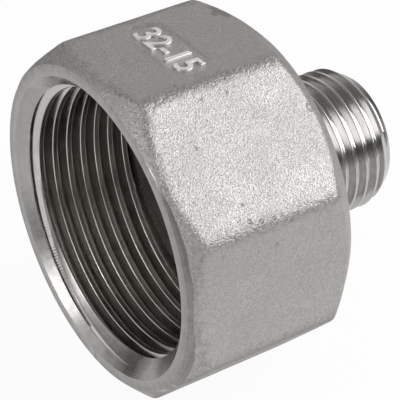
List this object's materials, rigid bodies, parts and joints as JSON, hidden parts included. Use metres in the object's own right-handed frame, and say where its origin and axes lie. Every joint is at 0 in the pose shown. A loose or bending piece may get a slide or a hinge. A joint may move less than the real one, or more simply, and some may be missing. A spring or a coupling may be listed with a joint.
{
  "type": "octagonal reducing pipe adapter",
  "caption": "Cast stainless steel pipe reducer with an octagonal body, a wide female threaded mouth and a narrow male threaded spigot on the same axis.",
  "frame": {"origin": "centre of the mouth, on the thread axis, in the plane of the machined mouth ring", "axes": "+X along the thread axis from the mouth to the spigot, +Z square to the flat that carries the raised size figures, and the part lies on the opposite flat"},
  "size_m": [0.044, 0.0486, 0.0486],
  "materials": {
    "cast_steel": "sand-textured investment casting outside, turned on the threads, the mouth ring and the nose"
  },
  "bodies": {
    "root": {"reducer_body": "cast_steel"}
  },
  "joints": []
}
